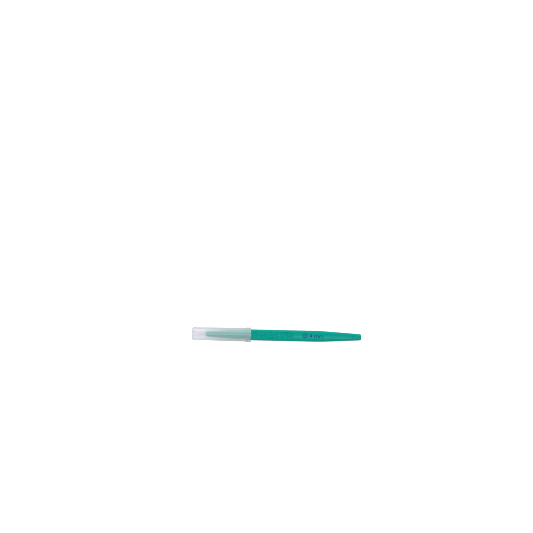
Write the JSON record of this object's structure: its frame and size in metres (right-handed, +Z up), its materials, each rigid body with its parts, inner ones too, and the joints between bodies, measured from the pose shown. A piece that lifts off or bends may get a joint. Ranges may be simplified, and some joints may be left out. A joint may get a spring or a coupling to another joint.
{
  "type": "dermal curette",
  "caption": "Disposable dermal curette with a green octagonal stippled handle, a steel ring blade in its nose and a frosted pull-off cap over the blade.",
  "frame": {"origin": "on the surface it lies on, under the middle of its length and width", "axes": "+X along the instrument towards the tail, the cap's closed end at -X; +Z up, out of the broad face with the grip panel; the instrument's own axis drops 2.03 degrees towards the tail, as it rests"},
  "size_m": [0.1498, 0.013, 0.0139],
  "materials": {
    "green_plastic": "moulded satin",
    "blade_steel": "ground",
    "frosted_plastic": "frosted"
  },
  "bodies": {
    "instrument": {"handle": "green_plastic", "ring_blade": "blade_steel"},
    "cover": {"cap": "frosted_plastic"}
  },
  "joints": [
    {"name": "cap_slide", "type": "slide", "parent": "instrument", "child": "cover", "axis": [-0.9994, 0, 0.0354], "range_m": [0, 0.06]}
  ]
}
